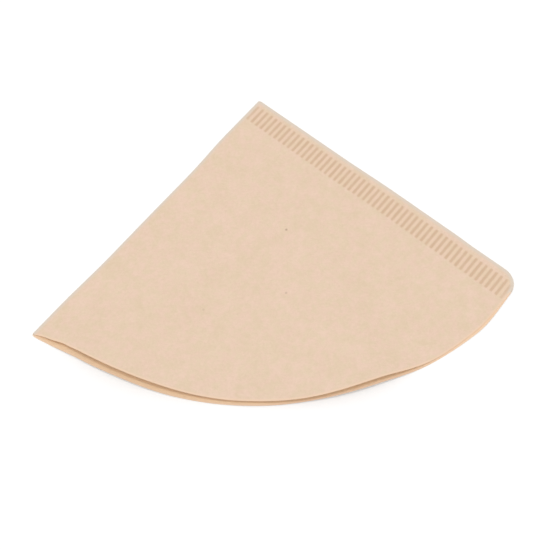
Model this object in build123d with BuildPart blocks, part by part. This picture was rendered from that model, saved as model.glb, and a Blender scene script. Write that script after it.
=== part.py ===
from build123d import *
import os
from math import cos, radians, sqrt, tan

# Paper cone coffee filter, folded flat, lying on its lower ply. One sheet of filter
# paper is folded along one straight side, crimped shut along the other, and open
# along the arc. Sizes are in millimetres. The tip points to +Y and the mouth to -Y.

# Sheet
paper = 0.20  # thickness of one ply
fold_length = 118.4  # from the tip along the fold, where the two plies meet
seam_length = 114.5  # from the tip along the seam, where the two plies meet
lower_radius = 116.6  # from the tip to the lower ply's edge
upper_radius = 115.7  # from the tip to the upper ply's edge, which leaves the lip
quarter = 90  # degrees from the fold to the seam
flare_angle = 9.0  # degrees from the fold where the edges start to run out to its end
run_in_angle = 12.0  # degrees from the seam where the edges start to run in to its end
tip_round = 1.0
fold_end_round = 0.7
seam_corner_round = 6.3

# Fold and mouth
crease_slope = 0.25  # rise of the upper ply beside the sharp crease of the fold
lift_angles = (17.5, 40.5, 64.0, 75.5)  # degrees from the fold: crest, trough, crest, foot
lifts = (3.5, 1.3, 3.4, 0.15)  # height of the gap between the plies there, at the mouth

# Crimped seam
seam_width = 11.4  # from the cut edge to where the plies part
groove_pitch = 2.1
groove_length = 7.2
groove_width = 1.10  # of those pressed from above
rib_width = 1.00  # of those pressed from below, half a pitch aside
groove_depth = 0.18
groove_slope = 50  # degrees from upright
groove_end_cut = 0.30  # the ends are narrower than the middle by twice this
groove_inset = 2.3  # from the cut edge to the grooves
first_groove = 1.5  # from the fold edge
last_groove_margin = 3.5  # least distance from the last groove to the seam's end

# Directions on the surface that the filter lies on
fold_direction = Vector(-1, -1, 0).normalized()
seam_direction = Vector(1, -1, 0).normalized()
to_mouth = Vector(0, -1, 0)

# The hollow between the plies is a shallow cone over the wavy mouth. Its profile is
# drawn on an upright plane that stands clear of the arc.
overshoot = 4.0  # of the profile plane past the arc, and of the trim above the plies
profile_distance = lower_radius + overshoot
profile_reach = profile_distance * sqrt(2)  # the same distance, along the fold
trim_height = max(lifts) + overshoot

# Directions in which the plies' edges reach the ends of the fold and of the seam, with
# x along the fold and y along the seam
square_to_fold = (0, 1)
slanting_in = (-2, 3)
square_to_seam = (-1, 0)


def round_corner(outline, place, radius):
    """Rounds the outline's corner nearest a place, within the outline's sketch."""
    corner = outline.vertices().sort_by_distance(place)[0]
    fillet(corner, radius)


def ply_outline(plane, mouth_radius, run_out):
    """Quarter circle with the tip at the origin, x along the fold and y along the seam."""
    start = Vector(mouth_radius, 0, 0).rotate(Axis.Z, flare_angle)
    middle = Vector(mouth_radius, 0, 0).rotate(Axis.Z, quarter / 2)
    end = Vector(mouth_radius, 0, 0).rotate(Axis.Z, quarter - run_in_angle)
    with BuildSketch(plane) as outline:
        with BuildLine():
            arc = ThreePointArc(start, middle, end)
            Spline((fold_length, 0), start, tangents=(run_out, arc % 0))
            Spline(end, (0, seam_length), tangents=(arc % 1, square_to_seam))
            Polyline((0, seam_length), (0, 0), (fold_length, 0))
        make_face()
        round_corner(outline, (0, 0), tip_round)
        round_corner(outline, (fold_length, 0), fold_end_round)
        round_corner(outline, (0, seam_length), seam_corner_round)
    return outline


# The origin is under the middle of the filter, at the height of what it lies on.
footprint = ply_outline(Plane((0, 0, 0), fold_direction, (0, 0, 1)), lower_radius, square_to_fold)
centre = footprint.sketch.bounding_box().center()
floor_plane = Plane((-centre.X, -centre.Y, 0), fold_direction, (0, 0, 1))
between_plies = floor_plane.offset(paper)
seam_top = floor_plane.offset(2 * paper)
apex = between_plies.from_local_coords((seam_width, paper, 0))

lower_outline = ply_outline(floor_plane, lower_radius, square_to_fold)
upper_outline = ply_outline(between_plies, upper_radius, slanting_in)


def mouth_points():
    """Where the upper ply passes through the profile plane, from the fold to the seam."""
    points = [(-profile_distance, 0)]
    for angle, lift in zip(lift_angles, lifts):
        aside = radians(angle - quarter / 2)
        reach = upper_radius - seam_width * cos(radians(angle))
        points.append((profile_distance * tan(aside), lift * profile_distance / (reach * cos(aside))))
    points.append((profile_distance, 0))
    return points


# Profile of the hollow: flat below, wavy above. Its plane stands askew to the fold and
# shows the crease less steep than it is.
level = (1, 0)
off_the_crease = (1, crease_slope / sqrt(2))
profile_plane = Plane(apex + to_mouth * profile_distance, (1, 0, 0), to_mouth)
with BuildSketch(profile_plane) as mouth_profile:
    with BuildLine():
        knots = mouth_points()
        wave = Spline(*knots, tangents=[off_the_crease] + [level] * len(knots[1:]))
        Line(wave @ 0, wave @ 1)
    make_face()

with BuildPart() as hollow:
    loft([mouth_profile.sketch, Vertex(apex)])
upper_surface = hollow.faces().filter_by(GeomType.PLANE, reverse=True)

# Fold: the sheet goes round the crease in a half disc
fold_plane = Plane(between_plies.from_local_coords((0, paper, 0)), -seam_direction, fold_direction)
with BuildSketch(fold_plane) as fold_section:
    with BuildLine():
        Line((0, -paper), (0, paper))
        ThreePointArc((0, paper), (paper, 0), (0, -paper))
    make_face()

# Room that each ply is cut to
with BuildPart() as trim:
    add(lower_outline.sketch)
    extrude(amount=paper)
    add(upper_outline.sketch)
    extrude(amount=trim_height)

groove_count = int((seam_length - last_groove_margin - first_groove) / groove_pitch) + 1
groove_places = [first_groove + i * groove_pitch for i in range(groove_count)]
groove_middle = groove_inset + groove_length / 2


def groove_outline(width):
    """Long narrow outline with cut corners, lying across the seam."""
    with BuildSketch() as outline:
        Rectangle(groove_length, width)
        chamfer(outline.vertices(), groove_end_cut)
    return outline.sketch


with BuildPart() as coffee_filter:
    # Lower ply
    with BuildSketch(floor_plane):
        with Locations((0, paper)):
            Rectangle(profile_reach, profile_reach, align=Align.MIN)
    extrude(amount=paper)

    # Upper ply, flat in the seam and lifted over the hollow
    with BuildSketch(between_plies):
        with Locations((0, paper)):
            Rectangle(seam_width, profile_reach, align=Align.MIN)
    extrude(amount=paper)
    extrude(upper_surface, amount=paper, dir=(0, 0, 1))
    extrude(fold_section.sketch, amount=profile_reach)
    add(trim.part, mode=Mode.INTERSECT)

    # Crimp: grooves pressed from above, and from below between them
    with BuildSketch(seam_top):
        with Locations([(groove_middle, place) for place in groove_places]):
            add(groove_outline(groove_width))
    extrude(amount=-groove_depth, taper=groove_slope, mode=Mode.SUBTRACT)
    with BuildSketch(floor_plane):
        with Locations([(groove_middle, place + groove_pitch / 2) for place in groove_places[:-1]]):
            add(groove_outline(rib_width))
    extrude(amount=groove_depth, taper=groove_slope, mode=Mode.SUBTRACT)

coffee_filter.part.label = "coffee_filter"

os.makedirs("parts", exist_ok=True)
export_step(coffee_filter.part, "parts/coffee_filter.step")
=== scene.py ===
import math
from bisect import bisect_right

import bmesh
import bpy
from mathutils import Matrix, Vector, noise
from mathutils.geometry import delaunay_2d_cdt
from mathutils.kdtree import KDTree


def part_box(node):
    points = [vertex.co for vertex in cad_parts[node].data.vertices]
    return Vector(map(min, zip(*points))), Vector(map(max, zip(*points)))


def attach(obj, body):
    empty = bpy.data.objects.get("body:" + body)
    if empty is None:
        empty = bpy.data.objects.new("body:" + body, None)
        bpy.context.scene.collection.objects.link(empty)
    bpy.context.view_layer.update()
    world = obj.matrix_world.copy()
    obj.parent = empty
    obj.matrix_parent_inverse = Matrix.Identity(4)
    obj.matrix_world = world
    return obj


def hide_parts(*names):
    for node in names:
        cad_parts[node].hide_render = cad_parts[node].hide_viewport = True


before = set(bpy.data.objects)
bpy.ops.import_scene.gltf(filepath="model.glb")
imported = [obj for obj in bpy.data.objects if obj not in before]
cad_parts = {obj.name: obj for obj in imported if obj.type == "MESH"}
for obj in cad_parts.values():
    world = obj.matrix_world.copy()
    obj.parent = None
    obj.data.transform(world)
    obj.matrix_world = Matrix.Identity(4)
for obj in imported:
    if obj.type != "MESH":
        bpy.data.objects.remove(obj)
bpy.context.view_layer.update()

# Paper cone coffee filter, folded flat. One sheet goes round the fold into two plies, which
# are crimped together along the seam. On the sheet, u runs along the fold and v along the
# seam, both from the tip. Sizes are in millimetres and angles in degrees.
MM = 0.001

# Outline of the plies, as in the solid
PLY = 0.20  # thickness of one
FOLD_LENGTH = 118.4
SEAM_LENGTH = 114.5
LOWER_RADIUS = 116.6
UPPER_RADIUS = 115.7
LOWER_START = Vector((0, 1))  # way in which the lower ply's edge leaves the fold
UPPER_START = Vector((-2, 3))
FLARE_ANGLE = 9.0  # from the fold, where the edges start to run out to its end
RUN_IN_ANGLE = 12.0  # from the seam, where they start to run in to its end
TIP_ROUND = 1.0
FOLD_END_ROUND = 0.7
SEAM_CORNER_ROUND = 6.3
SEAM_WIDTH = 11.4
BEND_WIDTH = PLY  # from the outside of the fold to where the plies start
CREASE_SLOPE = 0.25  # of the upper ply beside the fold

# Waves at the mouth, by the angle from the fold seen from the hollow's own tip: the gap
# between the plies, and the rise of the lower ply off the table
GAPS = ((0.0, 0.0), (17.5, 3.5), (40.5, 1.3), (63.5, 2.7), (75.5, 0.12), (90.0, 0.0))
RISES = ((0.0, 0.0), (17.5, 1.2), (32.0, 0.1), (46.0, 0.3), (62.0, 1.6), (72.0, 0.0), (90.0, 0.0))
LEAST_GAP = 0.01  # where the plies are pressed together
SEAM_FADE = 4 * SEAM_WIDTH  # where the seam's raised underside has come down to the table
COCKLE = 0.05  # height of the paper's own slight waves
COCKLE_LENGTH = 19.0
COCKLE_FADE = 3 * SEAM_WIDTH  # from the hollow's tip to where they have their full height
COCKLE_SLICE = 3.0  # height at which the noise for them is cut

# Crimp, with sizes a little off the solid's to follow the photograph more closely
GROOVE_COUNT = 54
GROOVE_PITCH = 2.0927
FIRST_GROOVE = 1.62  # from the fold
GROOVE_LENGTH = 7.3
GROOVE_DEPTH = 0.20
GROOVE_INSET = 1.95  # from the cut edge
GROOVE_FLOOR = 0.15  # half width of a groove at its deepest
GROOVE_SIDE = 0.95  # half width between the ribs on both sides of it
GROOVE_END = (-0.25, 0.65)  # its ends slope down from outside its length to inside it
GROOVE_DRIFT = 0.6  # the grooves lie that much further from the cut edge at the mouth
GROOVE_GROWTH = 0.3  # and are that much longer there
LAST_GROOVE_START = 0.8  # the last one starts that much later
PRESS = 0.89  # share of the depth to which a groove is pressed, on average
PRESS_SPREAD = 0.22  # and how far that varies
PRESS_STEPS = (1.7, 0.3)  # through noise: from groove to groove, and for a millimetre along one
END_GROOVE_PRESS = 0.7  # share of the others' depth that the first and the last one have
RIB_RISE = 0.15  # the ribs stand up by this share of the depth

# Inward bow of the fold and of the seam, by the place along them
FOLD_BOW = (
    (0.0, 0.0),
    (20.0, -0.1),
    (39.0, 0.42),
    (60.0, 0.29),
    (80.0, 0.28),
    (107.0, -0.38),
    (119.0, -0.42),
)
SEAM_BOW = ((0.0, 0.12), (38.0, 0.06), (59.0, -0.26), (86.0, -0.14), (95.0, 0.1), (116.0, 0.1))
BOW_REACH = 50.0  # across the sheet to where a bow has faded out

# How far the mouth's edges run outside the solid's, by the angle from the fold
UPPER_DRIFT = (
    (0.0, 0.0),
    (3.0, 0.15),
    (6.0, -0.65),
    (9.0, -1.0),
    (20.0, -0.8),
    (37.0, -0.3),
    (47.0, -0.05),
    (59.5, -0.6),
    (70.0, 0.3),
    (77.0, 0.0),
    (84.0, -0.5),
    (90.0, -0.5),
)
LOWER_DRIFT = (
    (0.0, 0.0),
    (3.0, -0.35),
    (7.0, -0.3),
    (15.0, -0.45),
    (25.0, -0.15),
    (32.0, -0.1),
    (38.0, -0.15),
    (49.0, -0.48),
    (60.0, -0.6),
    (68.0, 0.0),
    (77.0, -0.1),
    (84.0, -0.5),
    (90.0, -0.5),
)

# Fineness of the outlines
ARC_STEPS = 200  # of the mouth's arc
CURVE_STEPS = 60  # of the curves from the arc to the fold and the seam
FOLD_ROUND_STEPS = 5
SEAM_ROUND_STEPS = 40
TIP_ROUND_STEPS = 4
FOLD_ROUND_START = -35  # angle at which the round of the fold's end goes on from the bend
TIP_ROUND_STOP = 226  # angle at which the round of the tip reaches the bend
CORNER_MARGIN = 0.1  # between the fold's rounded end and the first point of the mouth
EDGE_STEP = 0.6  # along the mouth
SEAM_STEP = GROOVE_PITCH / 4
LINE_STEP = 0.2  # along the lines that distances are measured to
BEND_STATIONS = 150  # along the fold
BEND_STEPS = 8  # round it

# Points inside the outlines
CRIMP_COLUMNS = (0.45, 0.95, 1.45, 1.8, 2.1, 2.4, 2.7, 3.0, 3.4, 4.0, 5.0, 6.0)  # from the cut edge
CRIMP_COLUMNS += (7.0, 7.8, 8.4, 8.8, 9.1, 9.4, 9.7, 10.0, 10.3, 10.8, 11.4)
ROWS_PER_GROOVE = 8
ROWS_BEFORE = 4  # towards the tip from the first groove
ROWS_AFTER = 12  # past the last groove's own rows
SPACING = 1.4  # of the points outside the crimp
ROW_SPACING = 0.87  # of their rows, as a share of that
FIRST_COLUMN = SEAM_WIDTH + 0.9
FIRST_ROW = BEND_WIDTH + 0.8
RINGS = ((0.30, 0.6), (0.75, 0.6), (1.35, 0.9))  # along the mouth: distance inside it, and step
RING_START = SEAM_WIDTH + 0.4
BEND_MARGIN = 0.3  # least distance of a point from the bend
CRIMP_MARGIN = 0.32  # least distances from the cut edge
OPEN_MARGIN = 1.9
RING_MARGIN = 0.25
TRIANGLES_INSIDE = 1  # output type of the triangulation
SAME_POINT = 1e-7


def smooth(low, high, x):
    """0 below low, 1 above high, and a smooth step between."""
    t = min(1.0, max(0.0, (x - low) / (high - low)))
    return t * t * (3 - 2 * t)


def through(knots, x):
    """Height at x of a line that passes level through the knots."""
    height = 0.0
    for (x0, h0), (x1, h1) in zip(knots, knots[1:]):
        if x0 <= x <= x1:
            height = h0 + (h1 - h0) * smooth(x0, x1, x)
    return height


# The tip in the row frame, from the solid's box
HALF = math.sqrt(0.5)
low_corner, high_corner = (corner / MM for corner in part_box("coffee_filter"))
TIP = Vector(
    (
        low_corner.x + (FOLD_LENGTH - 2 * FOLD_END_ROUND) * HALF + FOLD_END_ROUND,
        high_corner.y + TIP_ROUND * (math.sqrt(2) - 1),
    )
)


def place(u, v, z):
    """A point of the sheet in the row frame, in metres."""
    fold_bow = through(FOLD_BOW, u) * max(0.0, 1 - v / BOW_REACH)
    u += through(SEAM_BOW, v) * max(0.0, 1 - u / BOW_REACH)
    v += fold_bow
    return Vector((TIP.x + (v - u) * HALF, TIP.y - (u + v) * HALF, z)) * MM


# Outlines of the plies
def polar(radius, angle):
    """A point at a distance from the tip and an angle from the fold."""
    return Vector((radius * math.cos(math.radians(angle)), radius * math.sin(math.radians(angle))))


def angle_of(p):
    """Angle from the fold to a point or a way."""
    return math.degrees(math.atan2(p.y, p.x))


def curve(start, start_way, end, end_way):
    """Points of a smooth curve with given directions at its ends."""
    chord = (end - start).length
    points = []
    for i in range(CURVE_STEPS + 1):
        t = i / CURVE_STEPS
        rise, fall = 3 * t**2 - 2 * t**3, chord * (t**3 - 2 * t**2 + t)
        points.append(
            start * (1 - rise)
            + end * rise
            + start_way.normalized() * fall
            + end_way.normalized() * chord * (t**3 - t**2)
        )
    return points


def arc(centre, radius, start, stop, steps):
    """Points round a centre, from one angle to another."""
    return [centre + polar(radius, start + (stop - start) * i / steps) for i in range(steps + 1)]


def evenly(points, step):
    """The line through the points with its points about a step apart."""
    lengths = [0.0]
    for one, other in zip(points, points[1:]):
        lengths.append(lengths[-1] + (other - one).length)
    count = max(1, round(lengths[-1] / step))
    even = []
    for i in range(count + 1):
        s = lengths[-1] * i / count
        k = min(len(points) - 2, bisect_right(lengths, s) - 1)
        share = (s - lengths[k]) / (lengths[k + 1] - lengths[k])
        even.append(points[k].lerp(points[k + 1], share))
    return even


def round_limit(radius, v):
    """How far a rounded corner at the fold stands back at a small distance v from it."""
    return radius - math.sqrt(radius**2 - (radius - v) ** 2)


def mouth_line(radius, start_way):
    """The edge at the mouth, from the fold's end to the seam's, with both corners sharp."""
    start, stop = FLARE_ANGLE, 90 - RUN_IN_ANGLE
    line = curve(Vector((FOLD_LENGTH, 0)), start_way, polar(radius, start), polar(1, start + 90))
    line += arc(Vector((0, 0)), radius, start, stop, ARC_STEPS)[1:]
    line += curve(line[-1], polar(1, stop + 90), Vector((0, SEAM_LENGTH)), Vector((-1, 0)))[1:]
    return line


class Ply:
    """Outline of one ply, with the tip at the origin and the fold along x."""

    def __init__(self, radius, start_way, drift):
        lean = angle_of(start_way)
        corner = FOLD_END_ROUND * math.tan(math.radians((lean - 90) / 2 + 45))
        self.centre = Vector((FOLD_LENGTH - corner, FOLD_END_ROUND))
        mouth = [
            p * (1 + through(drift, angle_of(p)) / p.length)
            for p in mouth_line(radius, start_way)
            if p.x > SEAM_CORNER_ROUND
            and (p - Vector((FOLD_LENGTH, 0))).length > corner + CORNER_MARGIN
        ]
        round_fold = arc(self.centre, FOLD_END_ROUND, FOLD_ROUND_START, lean - 90, FOLD_ROUND_STEPS)
        seam_centre = Vector((SEAM_CORNER_ROUND, mouth[-1].y - SEAM_CORNER_ROUND))
        self.corner = arc(seam_centre, SEAM_CORNER_ROUND, 90, 180, SEAM_ROUND_STEPS)
        self.mouth = evenly(mouth, EDGE_STEP)
        self.edge = evenly(round_fold + self.mouth + self.corner, EDGE_STEP)
        seam_end = Vector((0, self.corner[-1].y))
        self.seam = evenly([seam_end, Vector((0, TIP_ROUND))], SEAM_STEP)
        tip_centre = Vector((TIP_ROUND, TIP_ROUND))
        self.tip = arc(tip_centre, TIP_ROUND, 180, TIP_ROUND_STOP, TIP_ROUND_STEPS)
        self.angles = [math.atan2(p.y, p.x) for p in self.edge]
        self.reaches = [p.length for p in self.edge]

    def holds(self, p):
        """True for a point of the quarter inside the mouth and its corners."""
        if p.x <= 0 or p.y <= BEND_WIDTH:
            return False
        k = min(len(self.angles) - 1, bisect_right(self.angles, math.atan2(p.y, p.x)))
        return p.length < max(self.reaches[k - 1], self.reaches[k])

    def limit(self, v):
        """How far along the fold the ply reaches at a small distance v from it."""
        return self.centre.x + math.sqrt(FOLD_END_ROUND**2 - (FOLD_END_ROUND - v) ** 2)

    def stations(self):
        """Places along the fold where the bend joins the ply."""
        start = round_limit(TIP_ROUND, BEND_WIDTH)
        length = self.limit(BEND_WIDTH) - start
        places = [start + length * i / BEND_STATIONS for i in range(BEND_STATIONS + 1)]
        return [Vector((u, BEND_WIDTH)) for u in places]


LOWER = Ply(LOWER_RADIUS, LOWER_START, LOWER_DRIFT)
UPPER = Ply(UPPER_RADIUS, UPPER_START, UPPER_DRIFT)


# Height of the sheet
def angle_and_reach(u, v):
    """Angle from the fold and distance, seen from the hollow's tip beside seam and fold."""
    x, y = u - SEAM_WIDTH, v - BEND_WIDTH
    if x <= 0:
        return 90.0, 0.0
    return math.degrees(math.atan2(max(y, 0.0), x)), math.hypot(x, y)


def cone_height(knots, first_slope, angle, distance):
    """Height of a shallow cone whose edge waves through the knots."""
    reach = UPPER_RADIUS - SEAM_WIDTH * math.cos(math.radians(angle))
    height = through(knots, angle)
    first_crest = knots[1][0]
    if angle < first_crest:
        t = angle / first_crest
        height += first_slope * reach * math.radians(first_crest) * t * (1 - t) ** 2
    return height * distance / reach


def gap(u, v):
    """Height of the hollow between the plies."""
    return LEAST_GAP + cone_height(GAPS, CREASE_SLOPE, *angle_and_reach(u, v))


def groove_press(u, v):
    """How deep the crimp presses the sheet at a point: 1 in a groove, below 0 on a rib."""
    k = round((v - FIRST_GROOVE) / GROOVE_PITCH)
    if not 0 <= k < GROOVE_COUNT:
        return 0.0
    across = abs(v - FIRST_GROOVE - k * GROOVE_PITCH)
    share = v / SEAM_LENGTH
    first, last = k == 0, k == GROOVE_COUNT - 1
    start = GROOVE_INSET + GROOVE_DRIFT * share + LAST_GROOVE_START * last
    stop = GROOVE_INSET + GROOVE_LENGTH + (GROOVE_DRIFT + GROOVE_GROWTH) * share
    along = min(u - start, stop - u)
    place_in_noise = Vector((k * PRESS_STEPS[0], u * PRESS_STEPS[1], 0.0))
    press = min(1.0, PRESS + PRESS_SPREAD * noise.noise(place_in_noise))
    press *= END_GROOVE_PRESS if first or last else 1
    wave = smooth(GROOVE_SIDE, GROOVE_FLOOR, across) * (1 + RIB_RISE) - RIB_RISE
    return press * wave * smooth(*GROOVE_END, along)


def base(u, v):
    """Height of the lower ply's underside where nothing is pressed into it."""
    angle, distance = angle_and_reach(u, v)
    seam_side = GROOVE_DEPTH * (1 - smooth(SEAM_WIDTH, SEAM_FADE, u))
    cockle = 0.5 + 0.5 * noise.noise(Vector((u, v, COCKLE_SLICE)) / COCKLE_LENGTH)
    cockle *= COCKLE * smooth(0, COCKLE_FADE, distance)
    return seam_side + cockle + cone_height(RISES, 0.0, angle, distance)


def lower_height(u, v):
    """Middle of the lower ply's thickness."""
    return PLY / 2 + base(u, v) - GROOVE_DEPTH * groove_press(u, v)


def upper_height(u, v):
    """Middle of the upper ply's thickness."""
    return lower_height(u, v) + PLY + gap(u, v)


# Points and triangles of a ply
def line_tree(points):
    """Search tree of points set close together on the line through the given ones."""
    line = evenly(points, LINE_STEP)
    tree = KDTree(len(line))
    for i, p in enumerate(line):
        tree.insert((p.x, p.y, 0), i)
    tree.balance()
    return tree


def near(tree, p):
    """Distance from a point to the line of a search tree."""
    return tree.find((p.x, p.y, 0))[2]


def crimp_points():
    """Rows of points across the crimp, the same for each groove."""
    rows = range(-ROWS_BEFORE, GROOVE_COUNT * ROWS_PER_GROOVE + ROWS_AFTER)
    step = GROOVE_PITCH / ROWS_PER_GROOVE
    return [Vector((u, FIRST_GROOVE + i * step)) for i in rows for u in CRIMP_COLUMNS]


def open_points():
    """Staggered rows of points beside the crimp, wider apart."""
    steps = range(int(FOLD_LENGTH / SPACING))
    points = []
    for i in steps:
        for j in steps:
            u = FIRST_COLUMN + (i + 0.5 * (j % 2)) * SPACING
            points.append(Vector((u, FIRST_ROW + j * SPACING * ROW_SPACING)))
    return points


def ring_points(ply):
    """Points in lines along the inside of the mouth."""
    points = []
    for inset, step in RINGS:
        ring = evenly(ply.mouth, step)
        for before, p, after in zip(ring, ring[1:], ring[2:]):
            way = (after - before).normalized()
            points.append(p + Vector((-way.y, way.x)) * inset)
    return [p for p in points if p.x > RING_START]


def inner_points(ply, rim):
    """Points inside a ply that keep clear of its rim and of the bend."""
    kinds = (
        (crimp_points(), CRIMP_MARGIN),
        (open_points(), OPEN_MARGIN),
        (ring_points(ply), RING_MARGIN),
    )
    return [
        p
        for points, margin in kinds
        for p in points
        if p.y > BEND_WIDTH + BEND_MARGIN and ply.holds(p) and near(rim, p) > margin
    ]


def triangulate(ply):
    """Flat points and triangles of one ply, its fold stations, and how near each point lies
    to the straight sides and to the mouth."""
    stations = ply.stations()
    cut = ply.edge + ply.seam[1:] + ply.tip[1:]
    outline = stations + cut
    count = len(outline)
    edges = [(i, (i + 1) % count) for i in range(count)]
    points = outline + inner_points(ply, line_tree(cut))
    flat, _, faces, origins, _, _ = delaunay_2d_cdt(points, edges, [], TRIANGLES_INSIDE, SAME_POINT)
    new_index = {old: new for new, olds in enumerate(origins) for old in olds}
    sides = line_tree(ply.corner + ply.seam[1:] + ply.tip[1:])
    mouth = line_tree(ply.mouth)
    nears = [(min(near(sides, p), p.y), near(mouth, p)) for p in flat]
    return flat, faces, [new_index[i] for i in range(len(stations))], nears


# Mesh of the sheet
VALUES = ("border", "mouth", "press", "inner")  # what each vertex tells the material


class Sheet:
    """The sheet in mid-thickness, as points with the way outward, and faces."""

    def __init__(self):
        self.points = []
        self.faces = []

    def add(self, u, v, z, outward, nears, press):
        """Adds a point of the sheet and returns its number."""
        self.points.append((place(u, v, z), outward, (*nears, press)))
        return len(self.points) - 1

    def add_ply(self, ply, height, outward):
        """Adds a ply and returns its points along the fold."""
        flat, faces, stations, nears = triangulate(ply)
        first = len(self.points)
        for p, near_edges in zip(flat, nears):
            self.add(p.x, p.y, height(p.x, p.y), outward, near_edges, groove_press(p.x, p.y))
        self.faces += [[first + i for i in face] for face in faces]
        return [(first + i, flat[i].x) for i in stations]

    def bend_row(self, below, above, at_tip, at_mouth):
        """Adds points round the fold between one point of each ply, and returns the row."""
        (low, u_low), (high, u_high) = below, above
        low_place, _, (_, near_mouth, _) = self.points[low]
        z_low, z_high = low_place.z / MM, self.points[high][0].z / MM
        radius = (z_high - z_low) / 2
        row = [low]
        for i in range(1, BEND_STEPS):
            turn = math.pi * i / BEND_STEPS
            v = BEND_WIDTH - (BEND_WIDTH - PLY / 2) * math.sin(turn)
            u = u_low + (u_high - u_low) * i / BEND_STEPS
            if at_tip:
                u = round_limit(TIP_ROUND, v)
            if at_mouth:
                u += LOWER.limit(v) - LOWER.limit(BEND_WIDTH)
            aside = place(u, v - math.sin(turn), 0) - place(u, v, 0)
            outward = Vector((aside.x / MM, aside.y / MM, -math.cos(turn)))
            z = z_low + radius - radius * math.cos(turn)
            row.append(self.add(u, v, z, outward, (v, near_mouth), 0.0))
        return row + [high]

    def add_bend(self, below, above):
        """Joins the plies round the fold with a strip of half-round section."""
        last = len(below) - 1
        pairs = enumerate(zip(below, above))
        rows = [self.bend_row(*pair, k == 0, k == last) for k, pair in pairs]
        for one, other in zip(rows, rows[1:]):
            for i in range(BEND_STEPS):
                self.faces.append([one[i], other[i], other[i + 1], one[i + 1]])


def solid_sheet(sheet):
    """The sheet with its thickness, sharp along the cut edges."""
    mesh = bmesh.new()
    layers = [mesh.verts.layers.float.new(name) for name in VALUES]
    shells = []
    for side in (1, -1):
        shell = []
        for where, outward, values in sheet.points:
            vert = mesh.verts.new(where + outward * (side * PLY / 2 * MM))
            for layer, value in zip(layers, (*values, float(side < 0))):
                vert[layer] = value
            shell.append(vert)
        shells.append(shell)
    outer, inner = shells
    borders = {}  # the pair of points of each edge, or None where two faces share it
    for face in sheet.faces:
        mesh.faces.new([outer[i] for i in face])
        mesh.faces.new([inner[i] for i in reversed(face)])
        for pair in zip(face, face[1:] + face[:1]):
            borders[frozenset(pair)] = None if frozenset(pair) in borders else pair
    for one, other in filter(None, borders.values()):
        rim = mesh.faces.new([outer[other], outer[one], inner[one], inner[other]])
        rim.material_index = 1
    bmesh.ops.recalc_face_normals(mesh, faces=mesh.faces)
    for edge in mesh.edges:
        materials = {face.material_index for face in edge.link_faces}
        edge.smooth = len(materials) == 1
    for face in mesh.faces:
        face.smooth = True
    return mesh


# Shader nodes
FACTOR, COLOUR_A, COLOUR_B = 0, 6, 7  # places of the colour sockets among a mix node's inputs
MIXED_COLOUR = 2  # and among its outputs


def connect(tree, socket, value):
    """Links a socket to another, or gives it a value or a colour."""
    if isinstance(value, bpy.types.NodeSocket):
        tree.links.new(value, socket)
    elif isinstance(value, tuple) and len(value) == 3 and len(socket.default_value) == 4:
        socket.default_value = (*value, 1)
    else:
        socket.default_value = value


def fill(tree, made, **inputs):
    """Sets or links a node's sockets by name, with _ for each space."""
    for name, value in inputs.items():
        connect(tree, made.inputs[name.replace("_", " ")], value)
    return made


def new_material(name):
    """A material with its node tree."""
    material = bpy.data.materials.new(name)
    material.use_nodes = True
    return material, material.node_tree


def ramp(tree, factor, low, high):
    """0 where factor is under low, 1 where it is over high."""
    made = tree.nodes.new("ShaderNodeMapRange")
    made.interpolation_type = "SMOOTHSTEP"
    return fill(tree, made, Value=factor, From_Min=low, From_Max=high).outputs["Result"]


def mix(tree, factor, a, b, blend="MIX"):
    """Mix of two colours, each a socket or a colour."""
    made = tree.nodes.new("ShaderNodeMix")
    made.data_type = "RGBA"
    made.blend_type = blend
    for index, value in ((FACTOR, factor), (COLOUR_A, a), (COLOUR_B, b)):
        connect(tree, made.inputs[index], value)
    return made.outputs[MIXED_COLOUR]


def maths(tree, operation, *values):
    """Result of an operation on numbers, each a socket or a value."""
    made = tree.nodes.new("ShaderNodeMath")
    made.operation = operation
    for socket, value in zip(made.inputs, values):
        connect(tree, socket, value)
    return made.outputs[0]


def joined(tree, operation, values):
    """One value from several, such as their sum or the largest of them."""
    total = values[0]
    for value in values[1:]:
        total = maths(tree, operation, total, value)
    return total


def vector_maths(tree, operation, first, second):
    """Node for an operation on two vectors."""
    made = tree.nodes.new("ShaderNodeVectorMath")
    made.operation = operation
    connect(tree, made.inputs[0], first)
    connect(tree, made.inputs[1], second)
    return made


def stretched(tree, vector, turn, scale):
    """The coordinates turned about Z and scaled, for fibres that lie one way."""
    made = tree.nodes.new("ShaderNodeMapping")
    rotation = (0, 0, math.radians(turn))
    return fill(tree, made, Vector=vector, Rotation=rotation, Scale=scale).outputs[0]


def cloud(tree, vector, scale, detail, roughness):
    """Soft noise about 0.5."""
    made = tree.nodes.new("ShaderNodeTexNoise")
    fill(tree, made, Vector=vector, Scale=scale, Detail=detail, Roughness=roughness)
    return made.outputs["Fac"]


def attribute(tree, name):
    """One of the values of the mesh."""
    made = tree.nodes.new("ShaderNodeAttribute")
    made.attribute_name = name
    return made.outputs["Fac"]


def bump(tree, height, strength, distance, **normal):
    """Normal bent by a height. The distance is in millimetres."""
    made = tree.nodes.new("ShaderNodeBump")
    fill(tree, made, Height=height, Strength=strength, Distance=distance * MM, **normal)
    return made.outputs[0]


def shown(tree):
    """1 for the rays that show the background: to the camera, in gloss or through glass."""
    path = tree.nodes.new("ShaderNodeLightPath").outputs
    rays = [path["Is Camera Ray"], path["Is Glossy Ray"], path["Is Transmission Ray"]]
    return joined(tree, "MAXIMUM", rays)


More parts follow.
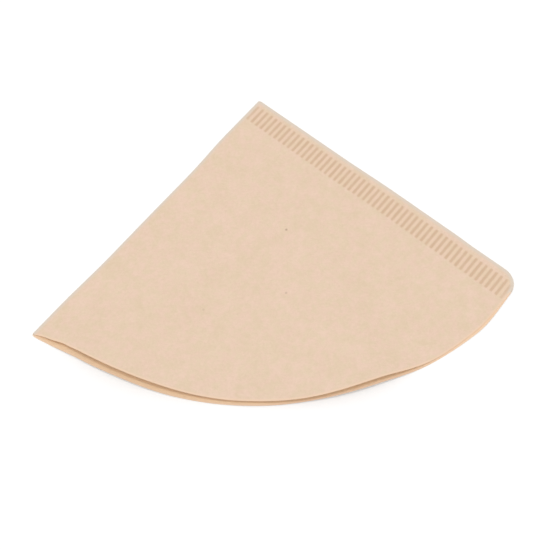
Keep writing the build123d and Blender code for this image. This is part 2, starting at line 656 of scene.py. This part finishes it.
# Colours of the paper
YELLOWISH = (0.788, 0.620, 0.452)  # the two tints that it varies between
ROSY = (0.812, 0.603, 0.470)
DARKER = (0.960, 0.944, 0.930)  # factors for its clouds of dark and light
LIGHTER = (1.040, 1.056, 1.070)
PALE = (0.862, 0.680, 0.522)  # the fibres
TAN = (0.735, 0.545, 0.398)
INNER_GLOW_PAINT = (0.940, 0.695, 0.460)  # the faces inside the hollow: a warmer tone, painted glow of light shining through the paper and bouncing between the plies
PRESSED_AND_SHADED = (0.672, 0.476, 0.326)  # the grooves: partly the pressed paper's darker tone, partly painted shade
# painted light on the ribs between the grooves
RIB_LIGHT_PAINT = (0.845, 0.612, 0.435)
RIM = (0.735, 0.642, 0.545)  # beside the straight sides
MOUTH_EDGE_HIGHLIGHT = (0.890, 0.648, 0.468)  # painted highlight beside the mouth's edge
CUT_FIBRE_AND_HIGHLIGHT = (0.880, 0.690, 0.525)  # the cut edge itself: its fibres, lighter partly as a painted highlight
SHIVE = (0.300, 0.190, 0.110)

# Noise in the paper: scale for each millimetre, detail and roughness
CLOUDS = (0.15, 7.0, 1.0)
TINTS = (0.30, 2.0, 0.6)
FLECKS = (0.9, 1.5, 0.9)
STRANDS = (1.3, 2.0, 0.5)
GRAIN = (3.2, 3.0, 0.7)
TINT_RANGE = (0.32, 0.68)  # noise at which it has one tint or the other
CLOUD_CONTRAST = 3.5
FLECK_CONTRAST = 1.2
SHADE_MIDDLE = 0.5 - (CLOUD_CONTRAST + FLECK_CONTRAST) / 2  # keeps the mean at 0.5
STRAND_WAYS = ((12, 3.1), (68, 2.7), (121, 3.4), (163, 2.9))  # turn, and fineness across
STRAND_STRETCH = 0.28  # fineness along them
STRAND_RELIEF = 0.7  # shares of the fine relief
GRAIN_RELIEF = 0.3

# Shives on the upper ply: place along the fold and the seam, radius and strength
SHIVES = ((35.7, 41.1, 0.62, 0.5), (54.3, 56.0, 0.62, 0.28), (76.3, 38.4, 0.65, 0.15))
SHIVE_CORE = 0.3  # share of the radius that is dark throughout


def fibres(tree, vector):
    """Fine fibres lying in several directions, about 0.5 where there is none."""
    layers = []
    for turn, fineness in STRAND_WAYS:
        lying = stretched(tree, vector, turn, (STRAND_STRETCH, fineness, 1))
        layers.append(cloud(tree, lying, *STRANDS))
    return maths(tree, "MULTIPLY", joined(tree, "ADD", layers), 1 / len(layers))


def shives(tree, vector):
    """Small dark marks where the sheet shows them: a mask from 0 to 1."""
    flat = vector_maths(tree, "MULTIPLY", vector, (1, 1, 0)).outputs[0]
    marks = []
    for u, v, radius, strength in SHIVES:
        centre = place(u, v, 0) / MM
        distance = vector_maths(tree, "DISTANCE", flat, (centre.x, centre.y, 0)).outputs["Value"]
        mark = ramp(tree, distance, radius, radius * SHIVE_CORE)
        marks.append(maths(tree, "MULTIPLY", mark, strength))
    return joined(tree, "MAXIMUM", marks)


def paper_colour(tree, vector, clouds, strands, grain):
    """Colour of the paper, from its clouds and fibres to the crimp and the edges, with painted
    shade in the grooves and painted light on the ribs, along the mouth and inside the hollow.
    """
    tints = ramp(tree, cloud(tree, vector, *TINTS), *TINT_RANGE)
    flecks = cloud(tree, vector, *FLECKS)
    shade = maths(tree, "MULTIPLY_ADD", flecks, FLECK_CONTRAST, SHADE_MIDDLE)
    shade = maths(tree, "MULTIPLY_ADD", clouds, CLOUD_CONTRAST, shade)
    colour = mix(tree, tints, YELLOWISH, ROSY)
    # Painted light: the faces inside the hollow are warmer, for light shining through the paper and
    # bouncing between the plies
    colour = mix(tree, attribute(tree, "inner"), colour, INNER_GLOW_PAINT)
    colour = mix(tree, 1.0, colour, mix(tree, shade, DARKER, LIGHTER), "MULTIPLY")
    press = attribute(tree, "press")
    # Each tone comes in as its mask goes from low to high, up to its strength
    for mask, low, high, strength, tone in (
        (strands, 0.44, 0.35, 0.52, TAN),
        (strands, 0.56, 0.66, 0.52, PALE),
        (grain, 0.45, 0.25, 0.14, TAN),
        # painted light on the ribs, then the grooves' darker tone with painted shade
        (press, 0.0, -RIB_RISE, 1.0, RIB_LIGHT_PAINT),
        (press, 0.0, 1.0, 1.0, PRESSED_AND_SHADED),
        (attribute(tree, "border"), 1.7, 0.3, 0.9, RIM),
        # painted highlight along the mouth's edge
        (attribute(tree, "mouth"), 0.9, 0.3, 0.7, MOUTH_EDGE_HIGHLIGHT),
    ):
        share = maths(tree, "MULTIPLY", ramp(tree, mask, low, high), strength)
        colour = mix(tree, share, colour, tone)
    return colour


def paper_material(name, cut_share):
    """Unbleached filter paper: cloudy, fibrous, matt. cut_share is how far it has the tone of the
    cut edge, which is lighter partly as a painted highlight."""
    material, tree = new_material(name)
    where = tree.nodes.new("ShaderNodeTexCoord").outputs["Object"]
    vector = vector_maths(tree, "MULTIPLY", where, (1 / MM,) * 3).outputs[0]
    clouds = cloud(tree, vector, *CLOUDS)
    strands = fibres(tree, vector)
    grain = cloud(tree, vector, *GRAIN)
    colour = paper_colour(tree, vector, clouds, strands, grain)
    # the cut edge's tone, lighter partly as a painted highlight
    colour = mix(tree, cut_share, colour, CUT_FIBRE_AND_HIGHLIGHT)
    colour = mix(tree, shives(tree, vector), colour, SHIVE)
    grain_relief = maths(tree, "MULTIPLY", grain, GRAIN_RELIEF)
    relief = maths(tree, "MULTIPLY_ADD", strands, STRAND_RELIEF, grain_relief)
    fine = bump(tree, relief, strength=0.6, distance=0.10)
    broad = bump(tree, clouds, strength=0.4, distance=0.16, Normal=fine)
    shader = tree.nodes["Principled BSDF"]
    fill(tree, shader, Base_Color=colour, Roughness=0.92, Specular_IOR_Level=0.25, Normal=broad)
    return material


def new_piece(name, mesh, *materials):
    """An object in the scene, from a bmesh that is freed."""
    data = bpy.data.meshes.new(name)
    mesh.to_mesh(data)
    mesh.free()
    piece = bpy.data.objects.new(name, data)
    bpy.context.scene.collection.objects.link(piece)
    for material in materials:
        data.materials.append(material)
    return piece


# The filter
sheet = Sheet()
below = sheet.add_ply(LOWER, lower_height, Vector((0, 0, -1)))
above = sheet.add_ply(UPPER, upper_height, Vector((0, 0, 1)))
sheet.add_bend(below, above)
paper_face = paper_material("filter_paper_face", cut_share=0.0)
paper_cut = paper_material("filter_paper_cut", cut_share=0.8)
paper_cone = new_piece("paper_cone", solid_sheet(sheet), paper_face, paper_cut)
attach(paper_cone, "root")
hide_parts("coffee_filter")

# Floor. The camera sees it white, and it keeps the filter's shadow.
WHITE = (1, 1, 1)
FLOOR_TONE = 0.9
FLOOR_GLOW = 0.16
FLOOR_REACH = 6.0  # metres from its middle to each side
floor_material, floor_tree = new_material("floor_white")
fill(
    floor_tree,
    floor_tree.nodes["Principled BSDF"],
    Base_Color=(FLOOR_TONE,) * 3,
    Roughness=1.0,
    Specular_IOR_Level=0.0,
    Emission_Color=WHITE,
    Emission_Strength=maths(floor_tree, "MULTIPLY", shown(floor_tree), FLOOR_GLOW),
)
floor_mesh = bmesh.new()
bmesh.ops.create_grid(floor_mesh, x_segments=1, y_segments=1, size=FLOOR_REACH)
new_piece("floor", floor_mesh, floor_material)

# World. It lights the filter a little less than white, and the camera sees it white.
WORLD_LIGHT = 0.82
world = bpy.data.worlds.new("studio")
bpy.context.scene.world = world
world.use_nodes = True
world_tree = world.node_tree
strength = maths(world_tree, "MULTIPLY_ADD", shown(world_tree), 1 - WORLD_LIGHT, WORLD_LIGHT)
fill(world_tree, world_tree.nodes["Background"], Color=WHITE, Strength=strength)

# Key light, soft and almost straight above
KEY_ENERGY = 0.60
KEY_WIDTH = 10
KEY_WAY = Vector((-0.03, 0.03, 1))
key = bpy.data.lights.new("key", "SUN")
key.energy = KEY_ENERGY
key.angle = math.radians(KEY_WIDTH)
key_holder = bpy.data.objects.new("key", key)
key_holder.rotation_mode = "QUATERNION"
key_holder.rotation_quaternion = KEY_WAY.to_track_quat("Z", "Y")
bpy.context.scene.collection.objects.link(key_holder)

# Camera, worked out for a square picture of 550 by 550
AZIMUTH = -6.0
ELEVATION = 64.84
DISTANCE = 410.2
AIM = (TIP.x - 1.68, TIP.y - 69.97)  # point of the table in the middle of the picture
LENS = 79.33
camera_data = bpy.data.cameras.new("camera")
camera_data.sensor_width = 36
camera_data.lens = LENS
camera_data.clip_start = 0.01
camera_data.clip_end = 20
camera = bpy.data.objects.new("camera", camera_data)
azimuth, elevation = math.radians(AZIMUTH), math.radians(ELEVATION)
level = Vector((math.sin(azimuth), -math.cos(azimuth), 0))
back = level * math.cos(elevation) + Vector((0, 0, math.sin(elevation)))
camera.location = Vector((*AIM, 0)) * MM + back * (DISTANCE * MM)
camera.rotation_mode = "QUATERNION"
camera.rotation_quaternion = back.to_track_quat("Z", "Y")
bpy.context.scene.collection.objects.link(camera)
bpy.context.scene.camera = camera

bpy.context.scene.view_settings.view_transform = "Standard"
